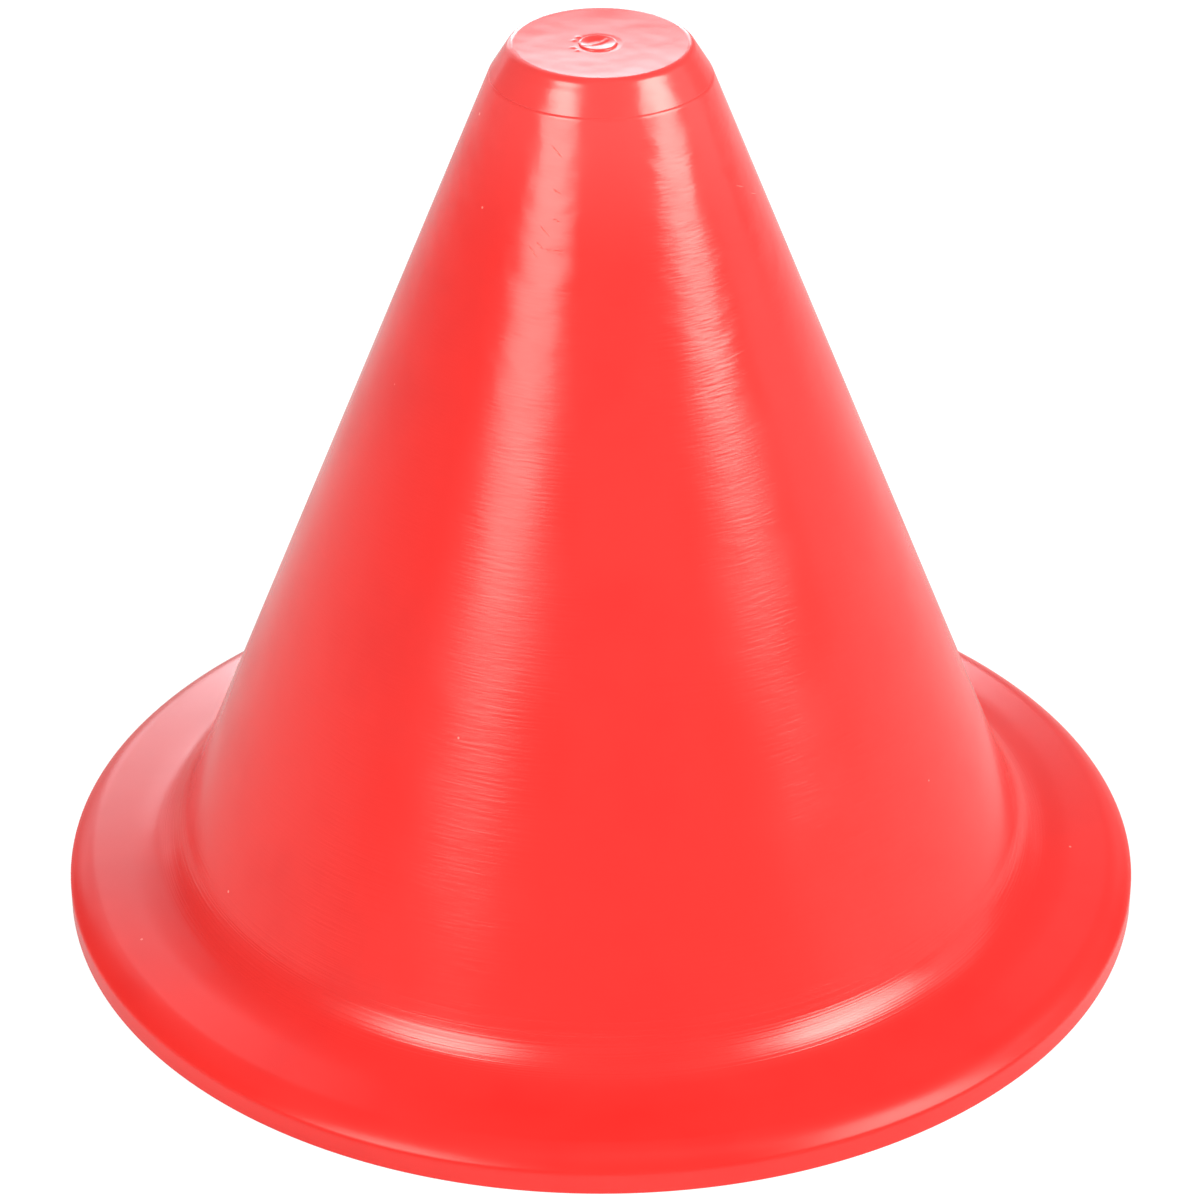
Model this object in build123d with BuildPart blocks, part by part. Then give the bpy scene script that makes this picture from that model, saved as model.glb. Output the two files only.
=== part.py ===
from build123d import *
from math import asin, atan2, cos, degrees, radians, sin, sqrt, tan
import os

# Sports marker cone, in millimetres: one hollow polyethylene moulding, open underneath.
# +Z runs up the axis of the cone, and the origin is on the ground in the middle of the rim.
# The moulding is drawn whole and then divided at its two real lines, the line left by the
# mould's crown insert and the line where the wall runs into the foot.

# Overall sizes
DISC_HEIGHT = 149.6  # ground to the flat disc on top
BASE_DIAMETER = 178.0  # over the face of the rim
DISC_DIAMETER = 28.0  # disc on top, to the corner that its shoulder rounds off

# Crown, shaped by its own insert in the mould
CROWN_HEIGHT = 5.0  # insert line to disc
CROWN_DIAMETER = 34.2  # at the insert line
SHOULDER_RADIUS = 1.5  # edge of the disc

# Thickness of the moulding
WALL = 1.5  # crown, cone wall, foot and flange
DISC_THICKNESS = 2.0  # plate under the gate

# Foot, flange and rim
FOOT_RADIUS = 9.4  # hollow sweep from the wall into the flange
FLANGE_WIDTH = 8.4  # straight stretch of the flange, measured along its slope
FLANGE_SLOPE = 10.0  # degrees, fall of the flange towards the rim
ROLL_RADIUS = 7.6  # roll of the flange into the rim
ROLL_TURN = 41.0  # degrees
RIM_HEIGHT = 4.0  # upright face of the rim
LIP_THICKNESS = 1.9  # lip that the cone stands on

# Gate mark left where the plastic entered, a low boss with a lopsided hollow
GATE_DIAMETER = 5.9
GATE_HEIGHT = 0.4
GATE_HOLLOW_RADIUS = 5.0  # ball that shapes the hollow
GATE_HOLLOW_DEPTH = 0.5  # below the top of the boss
GATE_HOLLOW_SHIFT = 0.4  # off centre, along +Y

# Places worked out from the sizes
rim_radius = BASE_DIAMETER / 2
insert_height = DISC_HEIGHT - CROWN_HEIGHT
insert_line = Vector(CROWN_DIAMETER / 2, insert_height)
disc_edge = Vector(DISC_DIAMETER / 2, DISC_HEIGHT)
gate_top = DISC_HEIGHT + GATE_HEIGHT

# From the top of the rim's face the roll, the flange and the foot's sweep follow one another inwards
rim_top = Vector(rim_radius, RIM_HEIGHT)
slope = radians(FLANGE_SLOPE)
roll_end_slope = radians(FLANGE_SLOPE + ROLL_TURN)
flange_run = Vector(cos(slope), -sin(slope))
flange_up = Vector(sin(slope), cos(slope))
roll_end_up = Vector(sin(roll_end_slope), cos(roll_end_slope))
roll_start = rim_top + (flange_up - roll_end_up) * ROLL_RADIUS
foot_end = roll_start - flange_run * FLANGE_WIDTH
foot_centre = foot_end + flange_up * FOOT_RADIUS

# The wall is straight: it leaves the insert line and runs tangent into the foot's sweep
reach = foot_centre - insert_line
wall_angle = atan2(reach.X, -reach.Y) - asin(FOOT_RADIUS / reach.length)
wall_length = sqrt(reach.length**2 - FOOT_RADIUS**2)
wall_slope = degrees(wall_angle) - 90
foot_turn = 90 - FLANGE_SLOPE - degrees(wall_angle)
wall_normal = Vector(cos(wall_angle), sin(wall_angle))
foot_line = foot_centre - wall_normal * FOOT_RADIUS

# The inside follows the outside at the wall's thickness, with plain bevels under the sweep and the roll
crown_angle = atan2(insert_line.X - disc_edge.X, CROWN_HEIGHT)
crown_normal = Vector(cos(crown_angle), sin(crown_angle))
inner_insert = insert_line - (crown_normal + wall_normal) * (WALL / (1 + crown_normal.dot(wall_normal)))
inner_disc_height = DISC_HEIGHT - DISC_THICKNESS
inner_disc_radius = disc_edge.X + DISC_THICKNESS * tan(crown_angle) - WALL / cos(crown_angle)
wall_run = Vector(sin(wall_angle), -cos(wall_angle))
inner_foot_radius = FOOT_RADIUS + WALL
inner_bevel = inner_foot_radius * tan(radians(foot_turn) / 4)
inner_bevel_top = foot_centre - wall_normal * inner_foot_radius + wall_run * inner_bevel
inner_bevel_end = foot_centre - flange_up * inner_foot_radius - flange_run * inner_bevel
inner_roll_start = roll_start - flange_up * WALL
lip_root = rim_top - Vector(LIP_THICKNESS, 0)

# Whole moulding
with BuildPart() as moulding:
    with BuildSketch(Plane.XZ) as outside:
        with BuildLine():
            disc = Line((0, DISC_HEIGHT), disc_edge)
            crown_side = Line(disc @ 1, insert_line)
            wall = PolarLine(start=crown_side @ 1, length=wall_length, angle=wall_slope)
            foot = JernArc(start=wall @ 1, tangent=wall % 1, radius=FOOT_RADIUS, arc_size=foot_turn)
            flange = Line(foot @ 1, roll_start)
            roll = JernArc(start=flange @ 1, tangent=flange % 1, radius=ROLL_RADIUS, arc_size=-ROLL_TURN)
            Polyline(roll @ 1, (rim_radius, 0), (0, 0), (0, DISC_HEIGHT))
        make_face()
        shoulder = outside.vertices().sort_by_distance(disc_edge)[0]
        fillet(shoulder, radius=SHOULDER_RADIUS)
    revolve(axis=Axis.Z)
    with BuildSketch(Plane.XZ):
        with BuildLine():
            Polyline((0, inner_disc_height), (inner_disc_radius, inner_disc_height), inner_insert)
            Polyline(inner_insert, inner_bevel_top, inner_bevel_end, inner_roll_start, lip_root)
            Polyline(lip_root, (lip_root.X, 0), (0, 0), (0, inner_disc_height))
        make_face()
    revolve(axis=Axis.Z, mode=Mode.SUBTRACT)

# Crown: the capped tip above the insert line, with the gate mark on its disc
with BuildPart() as crown:
    add(moulding.part)
    split(bisect_by=Plane.XY.offset(insert_height), keep=Keep.TOP)
    with BuildSketch(Plane.XY.offset(DISC_HEIGHT)):
        Circle(GATE_DIAMETER / 2)
    extrude(amount=GATE_HEIGHT)
    with Locations((0, GATE_HOLLOW_SHIFT, gate_top - GATE_HOLLOW_DEPTH + GATE_HOLLOW_RADIUS)):
        Sphere(GATE_HOLLOW_RADIUS, mode=Mode.SUBTRACT)

# Cone wall: the straight skin between the insert line and the foot
with BuildPart() as cone_wall:
    add(moulding.part)
    split(bisect_by=Plane.XY.offset(insert_height), keep=Keep.BOTTOM)
    split(bisect_by=Plane.XY.offset(foot_line.Y), keep=Keep.TOP)

# Base flange: the foot's sweep, the flange, its roll and the lip that stands on the ground
with BuildPart() as base_flange:
    add(moulding.part)
    split(bisect_by=Plane.XY.offset(foot_line.Y), keep=Keep.BOTTOM)

crown.part.label = "crown"
cone_wall.part.label = "cone_wall"
base_flange.part.label = "base_flange"

os.makedirs("parts", exist_ok=True)
export_step(crown.part, "parts/crown.step")
export_step(cone_wall.part, "parts/cone_wall.step")
export_step(base_flange.part, "parts/base_flange.step")
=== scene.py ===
"""Sports marker cone: one hollow moulding in red polyethylene, dressed for a plain studio picture."""

import logging
import math
from dataclasses import dataclass
from enum import Enum
from functools import partial, reduce

import bpy
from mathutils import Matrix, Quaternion, Vector
from mathutils.geometry import intersect_line_line


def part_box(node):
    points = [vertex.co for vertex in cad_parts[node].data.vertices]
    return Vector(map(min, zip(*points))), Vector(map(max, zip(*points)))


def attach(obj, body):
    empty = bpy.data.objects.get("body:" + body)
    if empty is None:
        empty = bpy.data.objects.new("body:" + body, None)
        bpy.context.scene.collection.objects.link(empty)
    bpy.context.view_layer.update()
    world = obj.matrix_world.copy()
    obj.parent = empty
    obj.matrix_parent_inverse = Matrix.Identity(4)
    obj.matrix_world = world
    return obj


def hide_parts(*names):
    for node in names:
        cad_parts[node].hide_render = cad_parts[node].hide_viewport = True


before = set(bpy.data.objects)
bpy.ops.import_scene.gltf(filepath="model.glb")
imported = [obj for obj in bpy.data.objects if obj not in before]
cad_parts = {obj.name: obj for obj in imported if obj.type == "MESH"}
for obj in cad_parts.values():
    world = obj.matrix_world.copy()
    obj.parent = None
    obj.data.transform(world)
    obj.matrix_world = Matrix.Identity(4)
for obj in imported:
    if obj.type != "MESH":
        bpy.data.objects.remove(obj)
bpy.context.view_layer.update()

MM = 0.001
BODY = "root"
NOWHERE = (0.0, 0.0, 0.0)

Feed = bpy.types.NodeSocket | float | tuple[float, ...]

log = logging.getLogger("marker_cone")


def deselect_all() -> None:
    """Leave nothing selected, so that the next operator acts on the new piece alone."""
    bpy.ops.object.select_all(action="DESELECT")


def fall(slope: float) -> Vector:
    """Give the way outwards and down a slope, in the XZ plane.

    Args:
        slope: fall from the level, in radians.

    Returns:
        A unit vector.
    """
    return Vector((math.cos(slope), 0.0, -math.sin(slope)))


def rise(slope: float) -> Vector:
    """Give the outward normal of a slope, in the XZ plane.

    Args:
        slope: fall from the level, in radians.

    Returns:
        A unit vector.
    """
    return Vector((math.sin(slope), 0.0, math.cos(slope)))


@dataclass(frozen=True)
class Corner:
    """One corner of a half section, in metres, rounded by an arc of a given radius.

    Args:
        r: distance from the axis.
        z: height above the ground.
        rounding: radius of the arc that rounds the corner, 0 for a sharp one.
        steps: edges along the arc.
        pitch: longest edge on the straight way to the corner, 0 for a long stretch held at its ends.
    """

    r: float
    z: float
    rounding: float = 0.0
    steps: int = 6
    pitch: float = 0.0

    def place(self) -> Vector:
        """Give the corner as a point of the XZ plane."""
        return Vector((self.r, 0.0, self.z))


class SectionPen:
    """Draws a half section by extruding one vertex along it, then spins it round the axis."""

    hold = 0.35 * MM
    held_length = 1.4 * MM
    merge_distance = 0.002 * MM

    def __init__(self, name: str, start: Vector) -> None:
        """Put down the first vertex.

        Args:
            name: name of the new piece.
            start: first point of the section, on the axis.
        """
        deselect_all()
        bpy.ops.mesh.primitive_plane_add(size=MM, location=start)
        self.piece = bpy.context.object
        self.piece.name = name
        bpy.ops.object.transform_apply(location=True, rotation=False, scale=False)
        bpy.ops.object.mode_set(mode="EDIT")
        bpy.ops.mesh.select_all(action="SELECT")
        bpy.ops.mesh.merge(type="CENTER")
        self.tip = start.copy()

    def to(self, point: Vector) -> None:
        """Extrude the tip to a point.

        Args:
            point: where the section goes next.
        """
        step = point - self.tip
        if step.length < self.merge_distance:
            return
        bpy.ops.mesh.extrude_vertices_move(TRANSFORM_OT_translate={"value": step})
        self.tip = point.copy()

    def straight(self, point: Vector, pitch: float = 0.0) -> None:
        """Extrude to a point, in even steps or with a holding vertex near both ends of a long stretch.

        Args:
            point: end of the stretch.
            pitch: longest step, 0 for a long stretch.
        """
        start, step = self.tip, point - self.tip
        if pitch > 0.0:
            count = math.ceil(step.length / pitch)
            for number in range(1, count):
                self.to(start + step * (number / count))
        elif step.length > self.held_length:
            along = step.normalized() * self.hold
            self.to(self.tip + along)
            self.to(point - along)
        self.to(point)

    def round(self, before: Vector, corner: Corner, after: Vector) -> None:
        """Draw up to a corner and round it.

        Args:
            before: the corner before it.
            corner: the corner to round.
            after: the corner after it.
        """
        apex = corner.place()
        back = (before - apex).normalized()
        ahead = (after - apex).normalized()
        half = back.angle(ahead) / 2
        if corner.rounding == 0.0:
            self.straight(apex, corner.pitch)
            return
        reach = corner.rounding / math.tan(half)
        centre = apex + (back + ahead).normalized() * (corner.rounding / math.sin(half))
        first = apex + back * reach - centre
        last = apex + ahead * reach - centre
        self.straight(centre + first, corner.pitch)
        turn = first.rotation_difference(last)
        still = Quaternion()
        for number in range(1, corner.steps + 1):
            self.to(centre + still.slerp(turn, number / corner.steps) @ first)

    def draw(self, corners: list[Corner]) -> None:
        """Draw the whole section.

        Args:
            corners: corners in order, the first one where the pen stands and the last one on the axis.
        """
        places = [corner.place() for corner in corners]
        for before, corner, after in zip(places, corners[1:-1], places[2:]):
            self.round(before, corner, after)
        self.straight(places[-1])

    def spin(self, steps: int) -> bpy.types.Object:
        """Spin the section round the axis and close it.

        Args:
            steps: faces round the axis.

        Returns:
            The closed piece, in object mode.
        """
        bpy.ops.mesh.select_all(action="SELECT")
        bpy.ops.mesh.spin(steps=steps, angle=math.tau, center=(0, 0, 0), axis=(0, 0, 1))
        bpy.ops.mesh.select_all(action="SELECT")
        bpy.ops.mesh.remove_doubles(threshold=self.merge_distance)
        bpy.ops.mesh.normals_make_consistent(inside=False)
        bpy.ops.object.mode_set(mode="OBJECT")
        return self.piece


class Sum(Enum):
    """What a Math node works out."""

    ADD = "ADD"
    SUBTRACT = "SUBTRACT"
    MULTIPLY = "MULTIPLY"
    MINIMUM = "MINIMUM"
    MAXIMUM = "MAXIMUM"
    TURN = "ARCTAN2"


class VectorSum(Enum):
    """What a Vector Math node works out."""

    ADD = "ADD"
    SUBTRACT = "SUBTRACT"
    MULTIPLY = "MULTIPLY"
    NORMALIZE = "NORMALIZE"
    LENGTH = "LENGTH"
    DOT = "DOT_PRODUCT"

    def output(self) -> str:
        """Name the node's output that holds the result."""
        return "Value" if self in (VectorSum.LENGTH, VectorSum.DOT) else "Vector"


@dataclass(frozen=True)
class Fade:
    """Two limits between which something comes in smoothly.

    Args:
        start: where it starts.
        full: where it is complete; it may be the lower of the two.
    """

    start: float
    full: float


class NodeBench:
    """Adds nodes to one material and wires them up."""

    noise_mean = 0.5

    def __init__(self, name: str) -> None:
        """Start a material.

        Args:
            name: name of the finish.
        """
        self.material = bpy.data.materials.new(name)
        self.material.use_nodes = True
        self.tree = self.material.node_tree
        self.shader = self.tree.nodes["Principled BSDF"]

    def feed(self, socket: bpy.types.NodeSocket, value: Feed) -> None:
        """Wire an output to a socket, or set the socket to a plain value.

        Args:
            socket: the input to feed.
            value: an output of another node, or a number, vector or colour.
        """
        if isinstance(value, bpy.types.NodeSocket):
            self.tree.links.new(value, socket)
        else:
            socket.default_value = value

    def sum(self, kind: Sum, first: Feed, second: Feed) -> bpy.types.NodeSocket:
        """Work out one number from two.

        Args:
            kind: what to work out.
            first: first number.
            second: second number.

        Returns:
            The result.
        """
        node = self.tree.nodes.new("ShaderNodeMath")
        node.operation = kind.value
        self.feed(node.inputs[0], first)
        self.feed(node.inputs[1], second)
        return node.outputs["Value"]

    def product(self, *factors: Feed) -> bpy.types.NodeSocket:
        """Multiply two or more numbers.

        Args:
            factors: the numbers.

        Returns:
            Their product.
        """
        return reduce(partial(self.sum, Sum.MULTIPLY), factors)

    def total(self, *terms: Feed) -> bpy.types.NodeSocket:
        """Add two or more numbers.

        Args:
            terms: the numbers.

        Returns:
            Their sum.
        """
        return reduce(partial(self.sum, Sum.ADD), terms)

    def vector(self, kind: VectorSum, first: Feed, second: Feed = NOWHERE) -> bpy.types.NodeSocket:
        """Work out a vector, or a number, from one or two vectors.

        Args:
            kind: what to work out.
            first: first vector.
            second: second vector, if it takes two.

        Returns:
            The result.
        """
        node = self.tree.nodes.new("ShaderNodeVectorMath")
        node.operation = kind.value
        self.feed(node.inputs[0], first)
        self.feed(node.inputs[1], second)
        return node.outputs[kind.output()]

    def ease(self, value: Feed, fade: Fade) -> bpy.types.NodeSocket:
        """Run smoothly from 0 to 1 while a number runs between two limits.

        Args:
            value: the number.
            fade: the limits.

        Returns:
            The eased share.
        """
        node = self.tree.nodes.new("ShaderNodeMapRange")
        node.interpolation_type = "SMOOTHSTEP"
        backwards = fade.start > fade.full
        self.feed(node.inputs["Value"], value)
        self.feed(node.inputs["From Min"], min(fade.start, fade.full))
        self.feed(node.inputs["From Max"], max(fade.start, fade.full))
        self.feed(node.inputs["To Min"], 1.0 if backwards else 0.0)
        self.feed(node.inputs["To Max"], 0.0 if backwards else 1.0)
        return node.outputs["Result"]

    def noise(self, place: Feed, scale: float, detail: float) -> bpy.types.NodeSocket:
        """Add a noise pattern.

        Args:
            place: where the pattern is read.
            scale: waves per unit of place.
            detail: how many finer waves are added.

        Returns:
            The pattern, about 0.5 on average.
        """
        node = self.tree.nodes.new("ShaderNodeTexNoise")
        self.feed(node.inputs["Vector"], place)
        self.feed(node.inputs["Scale"], scale)
        self.feed(node.inputs["Detail"], detail)
        return node.outputs["Fac"]

    def mix(self, share: Feed, first: Feed, second: Feed) -> bpy.types.NodeSocket:
        """Mix two colours.

        Args:
            share: share of the second colour.
            first: first colour.
            second: second colour.

        Returns:
            The mixed colour.
        """
        node = self.tree.nodes.new("ShaderNodeMix")
        node.data_type = "RGBA"
        self.feed(node.inputs["Factor"], share)
        self.feed(node.inputs["A"], first)
        self.feed(node.inputs["B"], second)
        return node.outputs["Result"]


@dataclass(frozen=True)
class Hairline:
    """One fine scratch on the wall.

    Args:
        turn: direction of its middle from the axis, in degrees from the viewer's side, to the right.
        height: height of its middle.
        length: length along the skin.
        tilt: rise to the right, in degrees.
        width: width.
    """

    turn: float
    height: float
    length: float
    tilt: float
    width: float = 0.22 * MM


@dataclass(frozen=True)
class Place:
    """Where a point of the skin lies, as outputs of a material's nodes.

    Args:
        point: the point itself.
        height: height above the ground.
        radius: distance from the axis.
        way: level direction from the axis.
        side: how far that direction points to the right, from -1 to 1.
        turn: angle of that direction from the viewer's side, to the right, in radians.
    """

    point: bpy.types.NodeSocket
    height: bpy.types.NodeSocket
    radius: bpy.types.NodeSocket
    way: bpy.types.NodeSocket
    side: bpy.types.NodeSocket
    turn: bpy.types.NodeSocket

    @classmethod
    def on_piece(cls, bench: NodeBench) -> "Place":
        """Read the place from the piece's own coordinates.

        Args:
            bench: the material.

        Returns:
            The place.
        """
        point = bench.tree.nodes.new("ShaderNodeTexCoord").outputs["Object"]
        parts = bench.tree.nodes.new("ShaderNodeSeparateXYZ")
        bench.feed(parts.inputs["Vector"], point)
        level = bench.vector(VectorSum.MULTIPLY, point, (1.0, 1.0, 0.0))
        way = bench.vector(VectorSum.NORMALIZE, level)
        return cls(
            point=point,
            height=parts.outputs["Z"],
            radius=bench.vector(VectorSum.LENGTH, level),
            way=way,
            side=bench.vector(VectorSum.DOT, way, (1.0, 0.0, 0.0)),
            turn=bench.sum(Sum.TURN, parts.outputs["X"], bench.product(parts.outputs["Y"], -1.0)),
        )


@dataclass(frozen=True)
class RedPolyethylene:
    """Semi-gloss polyethylene, dyed red all through, with the marks of the mould and of use.

    The turned mould leaves short marks round the wall and long rings round the foot. Low waves, fine
    scratches, pale specks, a slight unevenness of colour and gloss and a rubbed edge of the rim come
    on top. The paler tip is painted light: a paler red that stands in for the brighter light on the
    top of the cone.

    Args:
        colour: red of the plastic.
        deep_colour: red of the deeper clouds.
        painted_light_tip_colour: paler red painted on the tip, as painted light for the brighter light
            there.
        pale_colour: colour of specks and scratches.
        cloud: size of the clouds.
        cloud_detail: finer waves in the clouds.
        deep_clouds: where the cloud pattern goes over to the deeper red.
        dull_clouds: where the cloud pattern goes over to the duller skin.
        tip: heights between which the tip's painted light, its paler red, comes in.
        gloss: roughness of the glossiest skin.
        dull: roughness of the dullest skin.
        flange_dull: roughness of the flange.
        flange: distances from the axis between which the flange's roughness comes in.
        ior: refractive index.
        shine: level of the mirrored light.
        edge_shine: level on the rubbed edge of the rim.
        edge_top: heights between which the rubbed edge comes in from above.
        edge_low: heights between which it comes in from below.
        wall: heights between which the wall's marks come in below the disc.
        foot: heights between which the wall's marks give way to the foot's rings.
        mark_depth: height of the strongest marks.
        mark_pitch: distance from mark to mark.
        mark_turns: how often a mark breaks off on the way round.
        mark_share: strength of the marks everywhere.
        patch: size of the patches with stronger marks.
        patch_share: strength that a patch adds.
        patch_lean: how much likelier patches are on the right.
        patches: where the patch pattern goes over to stronger marks.
        right_marks: strength that the upper right of the wall adds.
        ring_pitch: distance from ring to ring.
        ring_turns: how often a ring breaks off on the way round.
        ring_share: strength of the rings.
        rings: distances from the axis between which the rings come in.
        wave: length of the low waves.
        wave_share: strength of the low waves.
        high: heights between which the waves grow.
        high_waves: how many times stronger the waves are at the top of the wall.
        disc_waves: how many times stronger they are on the disc.
        speck_pitch: distance from speck to speck.
        speck_size: size of a speck, as a share of that distance.
        scratch_core: where a scratch comes in, as a share of its half width.
        scratch_paleness: paleness of a scratch.
        scratch_relief: depth of a scratch, in marks.
        hairlines: the scratches.
    """

    colour: tuple[float, float, float, float] = (0.65, 0.0195, 0.0165, 1.0)
    deep_colour: tuple[float, float, float, float] = (0.62, 0.0155, 0.0135, 1.0)
    # Painted light: the paler red of the tip stands in for the brighter light at the top of the cone.
    painted_light_tip_colour: tuple[float, float, float, float] = (0.68, 0.044, 0.042, 1.0)
    pale_colour: tuple[float, float, float, float] = (0.95, 0.22, 0.19, 1.0)
    cloud: float = 18.0 * MM
    cloud_detail: float = 2.0
    deep_clouds: Fade = Fade(0.4, 0.75)
    dull_clouds: Fade = Fade(0.35, 0.7)
    # Painted light: heights over which the tip's paler red comes in.
    tip: Fade = Fade(122.0 * MM, 148.6 * MM)
    gloss: float = 0.2
    dull: float = 0.27
    flange_dull: float = 0.27
    flange: Fade = Fade(74.0 * MM, 81.0 * MM)
    ior: float = 1.5
    shine: float = 0.5
    edge_shine: float = 0.22
    edge_top: Fade = Fade(6.0 * MM, 4.8 * MM)
    edge_low: Fade = Fade(3.2 * MM, 3.8 * MM)
    wall: Fade = Fade(148.6 * MM, 147.6 * MM)
    foot: Fade = Fade(20.0 * MM, 12.0 * MM)
    mark_depth: float = 0.035 * MM
    mark_pitch: float = 0.38 * MM
    mark_turns: float = 10.0
    mark_share: float = 0.37
    patch: float = 16.0 * MM
    patch_share: float = 0.28
    patch_lean: float = 0.12
    patches: Fade = Fade(0.2, 0.8)
    right_marks: float = 0.7
    ring_pitch: float = 0.4 * MM
    ring_turns: float = 1.1
    ring_share: float = 1.8
    rings: Fade = Fade(75.5 * MM, 72.0 * MM)
    wave: float = 5.0 * MM
    wave_share: float = 0.6
    high: Fade = Fade(85.0 * MM, 140.0 * MM)
    high_waves: float = 4.0
    disc_waves: float = 2.0
    speck_pitch: float = 14.0 * MM
    speck_size: float = 0.02
    scratch_core: Fade = Fade(1.0, 0.2)
    scratch_paleness: float = 0.6
    scratch_relief: float = 2.2
    hairlines: tuple[Hairline, ...] = (
        Hairline(-19.9, 139.7 * MM, 2.6 * MM, -40.0),
        Hairline(-18.0, 134.3 * MM, 1.4 * MM, -22.0),
        Hairline(-16.9, 130.3 * MM, 1.2 * MM, -14.0),
        Hairline(-20.9, 128.6 * MM, 2.3 * MM, -38.0),
        Hairline(-22.0, 126.5 * MM, 1.8 * MM, -35.0),
        Hairline(-16.5, 126.1 * MM, 3.3 * MM, 2.0),
        Hairline(-24.3, 125.5 * MM, 2.6 * MM, -42.0),
        Hairline(66.9, 129.9 * MM, 3.1 * MM, -27.0),
        Hairline(75.9, 127.2 * MM, 3.0 * MM, -26.0),
    )

    def build(self) -> bpy.types.Material:
        """Make the material.

        Returns:
            The finish, ready for a piece's slot.
        """
        bench = NodeBench("red_polyethylene")
        place = Place.on_piece(bench)
        cloud = bench.noise(place.point, 1.0 / self.cloud, self.cloud_detail)
        scratch = self.scratches(bench, place)
        inputs = bench.shader.inputs
        bench.feed(inputs["Base Color"], self.dye_and_painted_light(bench, place, cloud, scratch))
        bench.feed(inputs["Roughness"], self.roughness(bench, place, cloud))
        bench.feed(inputs["Specular IOR Level"], self.rubbed_shine(bench, place))
        bench.feed(inputs["IOR"], self.ior)
        bump = bench.tree.nodes.new("ShaderNodeBump")
        bench.feed(bump.inputs["Distance"], self.mark_depth)
        bench.feed(bump.inputs["Height"], self.relief(bench, place, scratch))
        bench.feed(inputs["Normal"], bump.outputs["Normal"])
        return bench.material

    def dye_and_painted_light(self, bench: NodeBench, place: Place, cloud: Feed, scratch: Feed) -> bpy.types.NodeSocket:
        """Colour the skin, with a paler tip painted in as painted light.

        Args:
            bench: the material.
            place: place on the piece.
            cloud: the cloud pattern.
            scratch: 1 in a scratch and 0 off it.

        Returns:
            The colour.
        """
        red = bench.mix(bench.ease(cloud, self.deep_clouds), self.colour, self.deep_colour)
        # Painted light: the tip is mixed towards a paler red, standing in for the brighter light at the
        # top.
        red = bench.mix(bench.ease(place.height, self.tip), red, self.painted_light_tip_colour)
        scratched = bench.product(scratch, self.scratch_paleness)
        pale = bench.sum(Sum.MAXIMUM, self.specks(bench, place), scratched)
        return bench.mix(pale, red, self.pale_colour)

    def roughness(self, bench: NodeBench, place: Place, cloud: Feed) -> bpy.types.NodeSocket:
        """Work out the roughness, with duller clouds and a dull flange.

        Args:
            bench: the material.
            place: place on the piece.
            cloud: the cloud pattern.

        Returns:
            The roughness.
        """
        clouded = bench.product(bench.ease(cloud, self.dull_clouds), self.dull - self.gloss)
        flat = bench.product(bench.ease(place.radius, self.flange), self.flange_dull - self.gloss)
        return bench.total(bench.sum(Sum.MAXIMUM, clouded, flat), self.gloss)

    def rubbed_shine(self, bench: NodeBench, place: Place) -> bpy.types.NodeSocket:
        """Work out the level of the mirrored light, lower on the rubbed edge of the rim.

        Args:
            bench: the material.
            place: place on the piece.

        Returns:
            The level.
        """
        below = bench.ease(place.height, self.edge_top)
        above = bench.ease(place.height, self.edge_low)
        edge = bench.product(below, above)
        return bench.total(bench.product(edge, self.edge_shine - self.shine), self.shine)

    def relief(self, bench: NodeBench, place: Place, scratch: Feed) -> bpy.types.NodeSocket:
        """Work out the height of everything that stands on the skin or is cut into it.

        Args:
            bench: the material.
            place: place on the piece.
            scratch: 1 in a scratch and 0 off it.

        Returns:
            The height, in marks.
        """
        wall = bench.ease(place.height, self.wall)
        foot = bench.ease(place.height, self.foot)
        high = bench.ease(place.height, self.high)
        marks = self.round_marks(bench, place.way, place.height, self.mark_turns, self.mark_pitch)
        down = bench.sum(Sum.SUBTRACT, place.radius, place.height)
        rings = self.round_marks(bench, place.way, down, self.ring_turns, self.ring_pitch)
        lean = bench.product(place.side, self.patch_lean)
        patch = bench.total(bench.noise(place.point, 1.0 / self.patch, 1.0), lean)
        lopsided = bench.product(high, place.side, self.right_marks)
        worn = bench.total(bench.ease(patch, self.patches), lopsided)
        worn = bench.total(bench.product(worn, self.patch_share), self.mark_share)
        marked = bench.product(marks, bench.sum(Sum.SUBTRACT, wall, foot), worn)
        ringed = bench.product(rings, bench.ease(place.radius, self.rings), foot, self.ring_share)
        growth = bench.product(high, bench.total(bench.product(wall, self.high_waves), self.disc_waves))
        waves = bench.noise(place.point, 1.0 / self.wave, 1.0)
        waves = bench.product(waves, self.wave_share, bench.total(growth, 1.0))
        cut = bench.product(scratch, self.scratch_relief)
        return bench.sum(Sum.SUBTRACT, bench.total(marked, ringed, waves), cut)

    def round_marks(
        self, bench: NodeBench, way: Feed, along: Feed, turns: float, pitch: float
    ) -> bpy.types.NodeSocket:
        """Add marks that run round the cone.

        Args:
            bench: the material.
            way: direction from the axis.
            along: distance down the skin.
            turns: how often the marks break off on the way round.
            pitch: distance from mark to mark.

        Returns:
            The height of the marks, 0 on average.
        """
        lift = bench.tree.nodes.new("ShaderNodeCombineXYZ")
        bench.feed(lift.inputs["Z"], bench.product(along, 1.0 / pitch))
        spread = bench.vector(VectorSum.MULTIPLY, way, (turns, turns, 0.0))
        spot = bench.vector(VectorSum.ADD, spread, lift.outputs["Vector"])
        return bench.sum(Sum.SUBTRACT, bench.noise(spot, 1.0, 1.0), bench.noise_mean)

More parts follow.
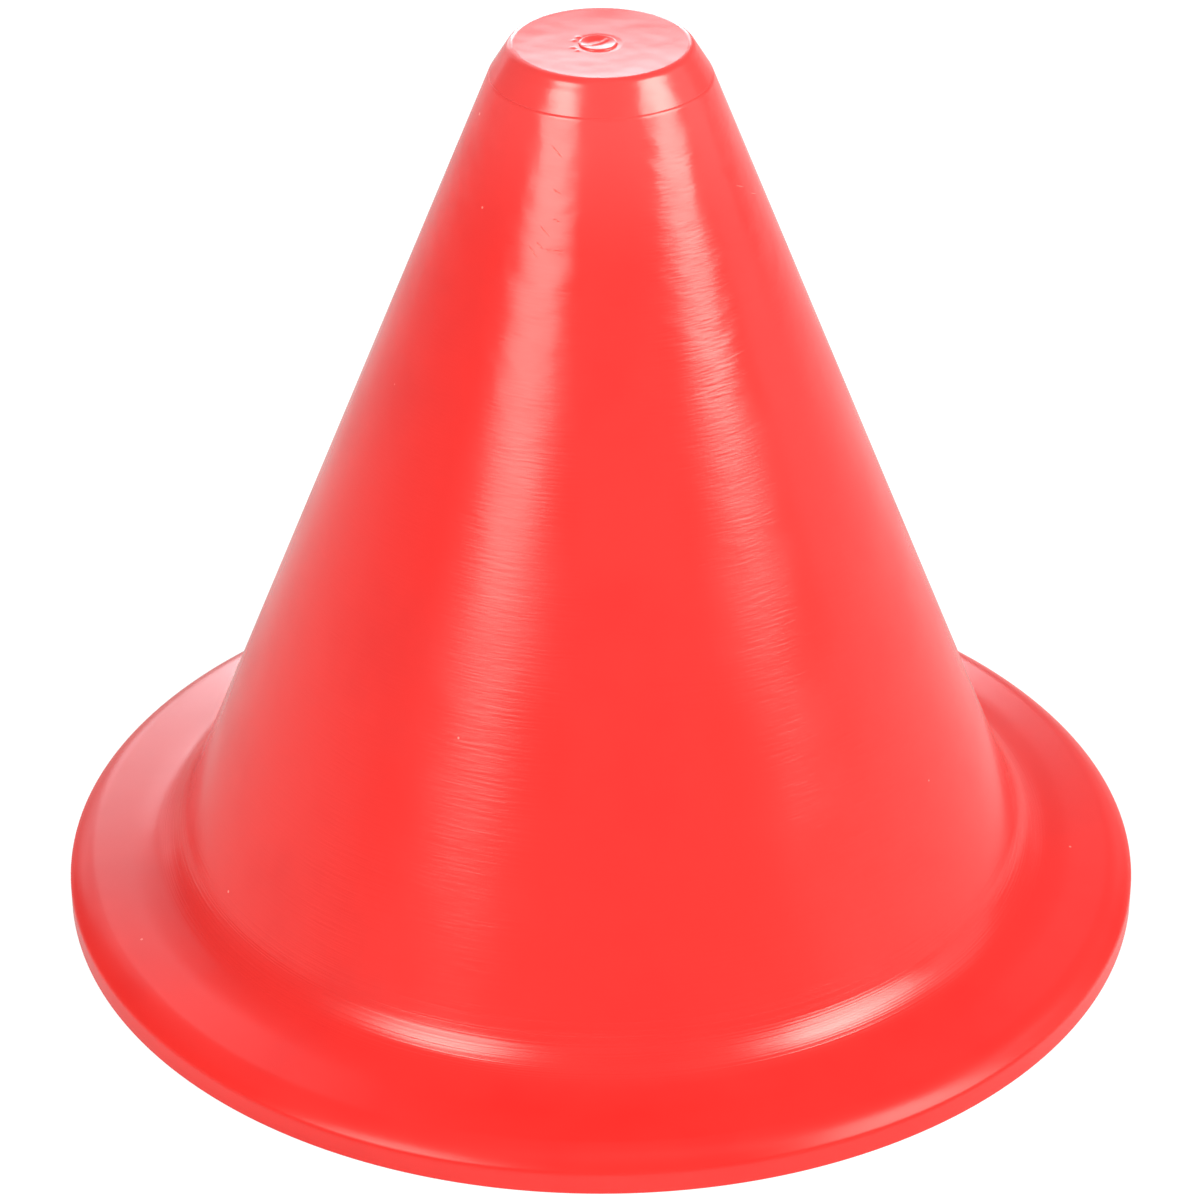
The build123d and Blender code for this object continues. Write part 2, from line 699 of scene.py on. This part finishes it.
    def specks(self, bench: NodeBench, place: Place) -> bpy.types.NodeSocket:
        """Add a few pale specks.

        Args:
            bench: the material.
            place: place on the piece.

        Returns:
            The share of paleness.
        """
        cells = bench.tree.nodes.new("ShaderNodeTexVoronoi")
        bench.feed(cells.inputs["Vector"], place.point)
        bench.feed(cells.inputs["Scale"], 1.0 / self.speck_pitch)
        return bench.ease(cells.outputs["Distance"], Fade(self.speck_size, self.speck_size / 2))

    def scratches(self, bench: NodeBench, place: Place) -> bpy.types.NodeSocket:
        """Add the fine scratches.

        Args:
            bench: the material.
            place: place on the piece.

        Returns:
            1 in the middle of a scratch and 0 off it.
        """
        skin = bench.tree.nodes.new("ShaderNodeCombineXYZ")
        bench.feed(skin.inputs["X"], place.turn)
        bench.feed(skin.inputs["Y"], place.height)
        reach = bench.tree.nodes.new("ShaderNodeCombineXYZ")
        bench.feed(reach.inputs["X"], place.radius)
        bench.feed(reach.inputs["Y"], 1.0)
        misses = []
        for line in self.hairlines:
            middle = (math.radians(line.turn), line.height, 0.0)
            away = bench.vector(VectorSum.SUBTRACT, skin.outputs["Vector"], middle)
            mapping = bench.tree.nodes.new("ShaderNodeMapping")
            mapping.vector_type = "TEXTURE"
            spread = bench.vector(VectorSum.MULTIPLY, away, reach.outputs["Vector"])
            bench.feed(mapping.inputs["Vector"], spread)
            bench.feed(mapping.inputs["Rotation"], (0.0, 0.0, math.radians(line.tilt)))
            bench.feed(mapping.inputs["Scale"], (line.length / 2, line.width / 2, 1.0))
            misses.append(bench.vector(VectorSum.LENGTH, mapping.outputs["Vector"]))
        nearest = reduce(partial(bench.sum, Sum.MINIMUM), misses)
        return bench.ease(nearest, self.scratch_core)


@dataclass(frozen=True)
class Pull:
    """One pull on the skin, strongest at its own vertices and fading out round them.

    Args:
        start: one end of the line that is pulled, level with the disc and from its middle.
        end: other end of the line.
        way: how far the line goes.
        reach: distance at which the pull has faded out.
        width: half the width of the line.
    """

    start: tuple[float, float]
    end: tuple[float, float]
    way: tuple[float, float, float]
    reach: float
    width: float = 0.1 * MM


@dataclass(frozen=True)
class GateMark:
    """The scar in the middle of the disc: a low boss with a torn hollow, and a few burrs beside it.

    Args:
        radius: radius of the boss.
        height: height of the boss over the disc.
        land: width of the boss's top.
        hollow_radius: radius of the hollow's bottom.
        hollow_depth: depth of the hollow below the disc.
        hollow_rounding: radius between the hollow's bottom and its side.
        moat_width: width of the low ring round the boss.
        moat_depth: depth of that ring.
        edge: rounding of the boss's edges.
        edge_steps: edges along each rounding.
        ring: distance between the rings of vertices.
        burr_radius: radius of the field that holds the burrs.
        pulls: pulls that tear the hollow, raise the burrs and shift the mark to its place.
    """

    radius: float = 2.96 * MM
    height: float = 0.2 * MM
    land: float = 0.3 * MM
    hollow_radius: float = 1.1 * MM
    hollow_depth: float = 0.2 * MM
    hollow_rounding: float = 3.0 * MM
    moat_width: float = 0.8 * MM
    moat_depth: float = 0.07 * MM
    edge: float = 0.08 * MM
    edge_steps: int = 4
    ring: float = 0.16 * MM
    burr_radius: float = 4.7 * MM
    pulls: tuple[Pull, ...] = (
        Pull((0.0, 0.0), (0.0, 0.0), (-0.25 * MM, 0.7 * MM, 0.0), 2.4 * MM),
        Pull((-1.9 * MM, -1.0 * MM), (1.3 * MM, 1.3 * MM), (0.0, 0.0, 0.1 * MM), 0.5 * MM),
        Pull((-3.1 * MM, 2.35 * MM), (-2.8 * MM, 2.35 * MM), (0.0, 0.0, 0.1 * MM), 0.35 * MM),
        Pull((-3.75 * MM, 0.95 * MM), (-3.6 * MM, 1.1 * MM), (0.0, 0.0, 0.1 * MM), 0.35 * MM),
        Pull((-3.9 * MM, -1.7 * MM), (-3.5 * MM, -1.7 * MM), (0.0, 0.0, 0.1 * MM), 0.35 * MM),
        Pull((-3.1 * MM, -2.8 * MM), (-3.0 * MM, -2.8 * MM), (0.0, 0.0, 0.1 * MM), 0.35 * MM),
        Pull((0.0, 0.0), (0.0, 0.0), (-0.45 * MM, 0.0, 0.0), 4.0 * MM, 4.5 * MM),
    )

    def section(self) -> list[tuple[float, float, float]]:
        """List the corners of the scar from the axis outwards.

        Returns:
            Radius, height over the disc and rounding of each corner.
        """
        crest = self.radius - self.land
        moat = self.radius + self.moat_width
        return [
            (0.0, -self.hollow_depth, 0.0),
            (self.hollow_radius, -self.hollow_depth, self.hollow_rounding),
            (crest, self.height, self.edge),
            (self.radius - self.edge, self.height - self.edge, self.edge),
            (self.radius, -self.moat_depth, self.edge),
            (moat, 0.0, self.moat_width),
            (self.burr_radius, 0.0, 0.0),
        ]

    def tear(self, piece: bpy.types.Object, level: float) -> None:
        """Pull the hollow out of true and raise its ridge and burrs.

        Args:
            piece: the moulding.
            level: height of the disc.
        """
        for pull in self.pulls:
            start = Vector((*pull.start, 0.0))
            line = Vector((*pull.end, 0.0)) - start
            bpy.ops.object.mode_set(mode="EDIT")
            bpy.ops.mesh.select_all(action="DESELECT")
            bpy.ops.object.mode_set(mode="OBJECT")
            for vertex in piece.data.vertices:
                flat = Vector((vertex.co.x, vertex.co.y, 0.0)) - start
                share = flat.dot(line) / max(line.length_squared, self.ring**2)
                miss = flat - line * min(max(share, 0.0), 1.0)
                vertex.select = abs(vertex.co.z - level) < MM and miss.length < pull.width
            bpy.ops.object.mode_set(mode="EDIT")
            bpy.ops.transform.translate(
                value=pull.way,
                use_proportional_edit=True,
                use_proportional_connected=True,
                proportional_edit_falloff="SMOOTH",
                proportional_size=pull.reach,
            )
            bpy.ops.object.mode_set(mode="OBJECT")


@dataclass
class ConeMoulding:
    """The whole cone in one skin: crown, wall, foot, flange and lip.

    Args:
        insert_radius: outside radius at the mould insert's line.
        insert_height: height of that line.
        foot_radius: outside radius where the wall runs into the foot.
        foot_height: height of that line.
        rim_radius: outside radius of the rim.
        disc_height: height of the disc's edge.
        disc_radius: radius of the disc, to the corner that its shoulder rounds off.
        disc_dish: depth of the disc's middle below its edge.
        disc_rings: rings of faces on the disc.
        disc_thickness: thickness of the plate under the gate.
        gate: the gate mark.
        shoulder: rounding of the disc's edge.
        wall: thickness of the moulding.
        sweep: radius of the foot's sweep.
        foot_sweep: radius that sets where the sweep leaves the wall, and the inside's own.
        ease_turn: degrees that the slower curve between sweep and flange turns.
        ease_reach: how far that curve's corner lies out on the flange.
        flange_slope: fall of the flange, in degrees.
        roll: radius of the roll of the flange into the rim.
        roll_turn: degrees that it turns.
        rim_edge: rounding between the roll and the rim's face.
        rim_height: height of the corner that it rounds off.
        lip: thickness of the lip.
        lip_edge: rounding of the lip's edges.
        core_tip: rounding at the top of the hollow.
        groove_width: width of the insert line.
        groove_depth: depth of the insert line.
        facets: faces round the axis.
        smooth_angle: largest angle between faces that is shaded smooth, in degrees.
    """

    insert_radius: float
    insert_height: float
    foot_radius: float
    foot_height: float
    rim_radius: float
    disc_height: float = 149.6 * MM
    disc_radius: float = 14.0 * MM
    disc_dish: float = 0.2 * MM
    disc_rings: int = 12
    disc_thickness: float = 2.0 * MM
    gate: GateMark = GateMark()
    shoulder: float = 1.5 * MM
    wall: float = 1.5 * MM
    sweep: float = 9.05 * MM
    foot_sweep: float = 9.4 * MM
    ease_turn: float = 6.0
    ease_reach: float = 0.9 * MM
    flange_slope: float = 10.0
    roll: float = 7.55 * MM
    roll_turn: float = 38.0
    rim_edge: float = 1.0 * MM
    rim_height: float = 4.04 * MM
    lip: float = 1.9 * MM
    lip_edge: float = 0.3 * MM
    core_tip: float = 1.0 * MM
    groove_width: float = 0.3 * MM
    groove_depth: float = 0.12 * MM
    facets: int = 256
    smooth_angle: float = 30.0

    shoulder_steps = 10
    sweep_steps = 40
    ease_steps = 12
    roll_steps = 24
    rim_steps = 14
    lip_steps = 5
    inner_roll_steps = 8
    inner_sweep_steps = 32
    core_steps = 8

    @classmethod
    def from_frame(cls) -> "ConeMoulding":
        """Take the main places from the frame.

        Returns:
            The moulding, sized as the frame is.
        """
        crown_low, crown_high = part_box("crown")
        wall_low, wall_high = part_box("cone_wall")
        flange_low, flange_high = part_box("base_flange")
        return cls(
            insert_radius=crown_high.x,
            insert_height=crown_low.z,
            foot_radius=wall_high.x,
            foot_height=wall_low.z,
            rim_radius=flange_high.x,
        )

    def wall_angle(self) -> float:
        """Give the wall's lean from the axis, in radians."""
        return math.atan2(self.foot_radius - self.insert_radius, self.insert_height - self.foot_height)

    def crown_angle(self) -> float:
        """Give the crown's lean from the axis, in radians."""
        return math.atan2(self.insert_radius - self.disc_radius, self.disc_height - self.insert_height)

    def roll_corner(self) -> Vector:
        """Give the point where the flange's line meets the line that the roll ends on."""
        turn = math.radians(self.roll_turn)
        drop = math.radians(self.flange_slope + self.roll_turn)
        reach = self.roll * math.tan(turn / 2) + self.rim_edge * math.tan((math.pi / 2 - drop) / 2)
        return Vector((self.rim_radius, 0.0, self.rim_height)) - fall(drop) * reach

    def foot_corner(self, depth: float) -> Vector:
        """Give the point where the wall's line meets the flange's line.

        Args:
            depth: distance under the outside skin, 0 for the outside itself.

        Returns:
            The corner that the foot's sweep rounds off.
        """
        lean, slope = math.radians(90.0) - self.wall_angle(), math.radians(self.flange_slope)
        insert = Vector((self.insert_radius, 0.0, self.insert_height)) - rise(lean) * depth
        rim = self.roll_corner() - rise(slope) * depth
        return intersect_line_line(insert, insert + fall(lean), rim, rim + fall(slope))[0]

    def eased_foot(self) -> list[Corner]:
        """Give the foot's sweep and the slower curve that eases it into the flange.

        Returns:
            The corner of the sweep and the corner of the slower curve.
        """
        foot, slope = self.foot_corner(0.0), math.radians(self.flange_slope)
        lean, ease = math.radians(90.0) - self.wall_angle(), math.radians(self.ease_turn)
        slow = foot + fall(slope) * (self.foot_sweep * math.tan((lean - slope) / 2) + self.ease_reach)
        sharp = intersect_line_line(foot, foot + fall(lean), slow, slow + fall(slope + ease))[0]
        left = (slow - sharp).length - self.sweep * math.tan((lean - slope - ease) / 2)
        return [
            Corner(sharp.x, sharp.z, self.sweep, self.sweep_steps),
            Corner(slow.x, slow.z, left / math.tan(ease / 2), self.ease_steps),
        ]

    def disc_level(self, r: float) -> float:
        """Give the height of the dished disc at a distance from the axis."""
        return self.disc_height - self.disc_dish * (1.0 - (r / self.disc_radius) ** 2)

    def disc(self) -> list[Corner]:
        """List the corners of the gate mark and the dished disc, from the middle to the shoulder."""
        mark = [
            Corner(r, self.disc_level(r) + lift, rounding, self.gate.edge_steps, self.gate.ring)
            for r, lift, rounding in self.gate.section()
        ]
        free = self.disc_radius - mark[-1].r
        radii = [mark[-1].r + free * number / self.disc_rings for number in range(1, self.disc_rings)]
        return mark + [Corner(r, self.disc_level(r)) for r in radii]

    def outside(self) -> list[Corner]:
        """List the corners from the middle of the disc to the ground.

        Returns:
            Corners of the outside.
        """
        half_groove = self.groove_width / 2
        above = self.insert_radius - half_groove * math.tan(self.crown_angle())
        below = self.insert_radius + half_groove * math.tan(self.wall_angle())
        roll = self.roll_corner()
        return self.disc() + [
            Corner(self.disc_radius, self.disc_height, self.shoulder, self.shoulder_steps),
            Corner(above, self.insert_height + half_groove),
            Corner(self.insert_radius - self.groove_depth, self.insert_height),
            Corner(below, self.insert_height - half_groove),
            *self.eased_foot(),
            Corner(roll.x, roll.z, self.roll, self.roll_steps),
            Corner(self.rim_radius, self.rim_height, self.rim_edge, self.rim_steps),
            Corner(self.rim_radius, 0.0, self.lip_edge, self.lip_steps),
        ]

    def inside(self) -> list[Corner]:
        """List the corners from the ground up the hollow to its top.

        Returns:
            Corners of the inside.
        """
        lean, crown = self.wall_angle(), self.crown_angle()
        wall_out = Vector((math.cos(lean), 0.0, math.sin(lean)))
        crown_out = Vector((math.cos(crown), 0.0, math.sin(crown)))
        insert = Vector((self.insert_radius, 0.0, self.insert_height)) - (crown_out + wall_out) * (
            self.wall / (1 + crown_out.dot(wall_out))
        )
        foot = self.foot_corner(self.wall)
        lip_radius = self.rim_radius - self.lip
        roll = self.roll_corner() - rise(math.radians(self.flange_slope + self.roll_turn / 2)) * self.wall
        top = self.disc_height - self.disc_thickness
        tip = self.disc_radius + self.disc_thickness * math.tan(crown) - self.wall / math.cos(crown)
        return [
            Corner(lip_radius, 0.0, self.lip_edge, self.lip_steps),
            Corner(lip_radius, self.rim_height, self.lip_edge, self.lip_steps),
            Corner(roll.x, roll.z, self.rim_edge, self.inner_roll_steps),
            Corner(foot.x, foot.z, self.foot_sweep + self.wall, self.inner_sweep_steps),
            Corner(insert.x, insert.z),
            Corner(tip, top, self.core_tip, self.core_steps),
            Corner(0.0, top),
        ]

    def build(self) -> bpy.types.Object:
        """Model the moulding.

        Returns:
            The finished piece, riding on the frame.
        """
        corners = self.outside() + self.inside()
        pen = SectionPen("marker_cone", corners[0].place())
        pen.draw(corners)
        piece = pen.spin(self.facets)
        self.gate.tear(piece, self.disc_height)
        bpy.ops.object.shade_smooth_by_angle(angle=math.radians(self.smooth_angle))
        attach(piece, BODY)
        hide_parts("crown", "cone_wall", "base_flange")
        return piece

    def dress(self, piece: bpy.types.Object, finish: RedPolyethylene) -> None:
        """Give the piece its finish.

        Args:
            piece: the moulding.
            finish: what it is made of.
        """
        piece.data.materials.clear()
        piece.data.materials.append(finish.build())


@dataclass(frozen=True)
class PhotoCamera:
    """The camera, standing where the photograph was taken from.

    Args:
        distance: level distance from the axis of the cone.
        height: height above the ground.
        pitch: degrees that it looks down.
        lens: focal length, in millimetres.
        sensor: width of the sensor, in millimetres.
        shift: sideways shift of the picture.
    """

    distance: float = 587.9 * MM
    height: float = 402.5 * MM
    pitch: float = 30.84
    lens: float = 126.05
    sensor: float = 36.0
    shift: float = -0.0008

    def build(self) -> bpy.types.Object:
        """Set up the camera and make it the scene's own.

        Returns:
            The camera.
        """
        deselect_all()
        tilt = math.radians(90.0 - self.pitch)
        bpy.ops.object.camera_add(location=(0.0, -self.distance, self.height), rotation=(tilt, 0.0, 0.0))
        camera = bpy.context.object
        camera.name = "photo_camera"
        camera.data.lens = self.lens
        camera.data.sensor_width = self.sensor
        camera.data.shift_x = self.shift
        bpy.context.scene.camera = camera
        return camera


@dataclass(frozen=True)
class StudioFloor:
    """A plain white floor that runs past the picture on all sides.

    To the lamps it is a matt white sheet. Seen straight on or in a reflection it also glows a little,
    so that it reads as white paper.

    Args:
        size: length of its sides.
        albedo: share of the light that it throws back onto the cone.
        seen_albedo: the same where it is seen or mirrored.
        seen_glow: glow where it is seen.
        mirrored_glow: glow where it is mirrored in the cone.
        roughness: roughness of the paper.
    """

    size: float = 40.0
    albedo: float = 0.8
    seen_albedo: float = 0.25
    seen_glow: float = 0.85
    mirrored_glow: float = 0.44
    roughness: float = 0.9

    def finish(self) -> bpy.types.Material:
        """Make the floor's material.

        Returns:
            The finish.
        """
        bench = NodeBench("white_floor")
        inputs = bench.shader.inputs
        bench.feed(inputs["Roughness"], self.roughness)
        bench.feed(inputs["Specular IOR Level"], 0.0)
        bench.feed(inputs["Emission Color"], (1.0, 1.0, 1.0, 1.0))
        rays = bench.tree.nodes.new("ShaderNodeLightPath").outputs
        mirrored = bench.sum(Sum.MAXIMUM, rays["Is Glossy Ray"], rays["Is Transmission Ray"])
        seen = bench.sum(Sum.MAXIMUM, rays["Is Camera Ray"], mirrored)
        direct_glow = bench.product(rays["Is Camera Ray"], self.seen_glow)
        glow = bench.total(direct_glow, bench.product(mirrored, self.mirrored_glow))
        bench.feed(inputs["Emission Strength"], glow)
        paper = (self.albedo, self.albedo, self.albedo, 1.0)
        seen_paper = (self.seen_albedo, self.seen_albedo, self.seen_albedo, 1.0)
        bench.feed(inputs["Base Color"], bench.mix(seen, paper, seen_paper))
        return bench.material

    def build(self) -> bpy.types.Object:
        """Lay the floor.

        Returns:
            The floor.
        """
        deselect_all()
        bpy.ops.mesh.primitive_plane_add(size=self.size, location=(0.0, 0.0, 0.0))
        floor = bpy.context.object
        floor.name = "studio_floor"
        floor.data.materials.append(self.finish())
        return floor


class Face(Enum):
    """Shape of a lamp's face."""

    PANEL = "RECTANGLE"
    ROUND = "ELLIPSE"


@dataclass(frozen=True)
class SoftBox:
    """One soft lamp.

    Args:
        name: what the lamp is.
        face: shape of its face.
        azimuth: direction from the cone, in degrees from the viewer's side, to the right.
        elevation: height above the ground, in degrees.
        distance: distance from the middle of the cone.
        width: width of its face.
        height: height of its face.
        level: brightness of its face, where 1 is white.
        tint: colour of its light.
    """

    name: str
    face: Face
    azimuth: float
    elevation: float
    distance: float
    width: float
    height: float
    level: float
    tint: tuple[float, float, float] = (1.0, 1.0, 1.0)

    def area(self) -> float:
        """Give the area of the lamp's face."""
        share = math.pi / 4 if self.face is Face.ROUND else 1.0
        return share * self.width * self.height

    def build(self, target: Vector) -> bpy.types.Object:
        """Hang the lamp, facing the cone.

        Args:
            target: the point that it faces.

        Returns:
            The lamp.
        """
        turn, lift = math.radians(self.azimuth), math.radians(self.elevation)
        away = Vector((math.sin(turn) * math.cos(lift), -math.cos(turn) * math.cos(lift), math.sin(lift)))
        facing = away.to_track_quat("Z", "Y").to_euler()
        deselect_all()
        bpy.ops.object.light_add(type="AREA", location=target + away * self.distance, rotation=facing)
        lamp = bpy.context.object
        lamp.name = self.name
        lamp.data.shape = self.face.value
        lamp.data.size = self.width
        lamp.data.size_y = self.height
        lamp.data.energy = math.pi * self.area() * self.level
        lamp.data.color = self.tint
        lamp.visible_camera = False
        return lamp


@dataclass
class Studio:
    """The light round the cone: two round lamps with bright cores in front, panels behind, weak fills.

    Args:
        target: the point that the lamps face.
        world_level: brightness of the room.
        warm: tint of the lamps in front.
        cool: tint of the panels behind.
    """

    target: Vector
    world_level: float = 0.26
    warm: tuple[float, float, float] = (1.0, 0.97, 0.89)
    cool: tuple[float, float, float] = (0.96, 0.98, 1.03)

    def lamps(self) -> list[SoftBox]:
        """List the lamps."""
        return [
            SoftBox("left_lamp", Face.ROUND, -40.4, 27.0, 1.2, 0.74, 0.82, 6.9, self.warm),
            SoftBox("left_core", Face.ROUND, -44.0, 36.0, 1.15, 0.46, 0.52, 5.4, self.warm),
            SoftBox("right_lamp", Face.ROUND, 65.8, 28.4, 1.2, 0.76, 0.86, 9.8, self.warm),
            SoftBox("right_core", Face.ROUND, 69.0, 42.0, 1.15, 0.44, 0.56, 4.8, self.warm),
            SoftBox("front_fill", Face.PANEL, 12.0, 19.0, 1.2, 0.98, 0.38, 0.3),
            SoftBox("top_fill", Face.PANEL, 20.0, 66.0, 1.6, 1.80, 1.00, 0.12),
            SoftBox("left_fill", Face.PANEL, -92.0, 8.0, 1.2, 0.80, 0.50, 0.12),
            SoftBox("right_fill", Face.PANEL, 100.0, 20.0, 1.2, 0.51, 0.86, 0.7),
            SoftBox("back_panel", Face.PANEL, 180.0, 12.5, 1.6, 0.74, 0.68, 6.6, self.cool),
            SoftBox("back_left_wing", Face.PANEL, 199.0, 13.0, 1.6, 0.46, 0.72, 2.7, self.cool),
            SoftBox("back_left_edge", Face.PANEL, 217.0, 9.0, 1.6, 0.50, 0.50, 0.75, self.cool),
            SoftBox("back_left_high", Face.PANEL, 195.0, 37.0, 1.6, 0.52, 0.66, 1.4, self.cool),
            SoftBox("back_left_side", Face.PANEL, 214.0, 26.0, 1.6, 0.55, 0.80, 0.7, self.cool),
            SoftBox("back_right_wing", Face.PANEL, 150.0, 10.0, 1.6, 0.70, 0.50, 0.25, self.cool),
            SoftBox("back_right_high", Face.PANEL, 165.0, 36.0, 1.6, 0.50, 0.50, 0.2, self.cool),
        ]

    def build(self) -> list[bpy.types.Object]:
        """Hang the lamps and light the world.

        Returns:
            The lamps.
        """
        world = bpy.data.worlds.new("studio")
        bpy.context.scene.world = world
        world.use_nodes = True
        backdrop = world.node_tree.nodes["Background"]
        backdrop.inputs["Color"].default_value = (1.0, 1.0, 1.0, 1.0)
        backdrop.inputs["Strength"].default_value = self.world_level
        return [lamp.build(self.target) for lamp in self.lamps()]


def main() -> None:
    """Build the cone, its finish and the studio round it."""
    logging.basicConfig(level=logging.INFO, format="%(name)s: %(message)s")
    bpy.context.scene.view_settings.view_transform = "Standard"
    cone = ConeMoulding.from_frame()
    piece = cone.build()
    cone.dress(piece, RedPolyethylene())
    log.info("%s: %d faces", piece.name, len(piece.data.polygons))
    camera = PhotoCamera().build()
    floor = StudioFloor().build()
    lamps = Studio(target=Vector((0.0, 0.0, cone.disc_height / 2))).build()
    log.info("%s, %s and %d lamps", camera.name, floor.name, len(lamps))


if __name__ == "__main__":
    main()
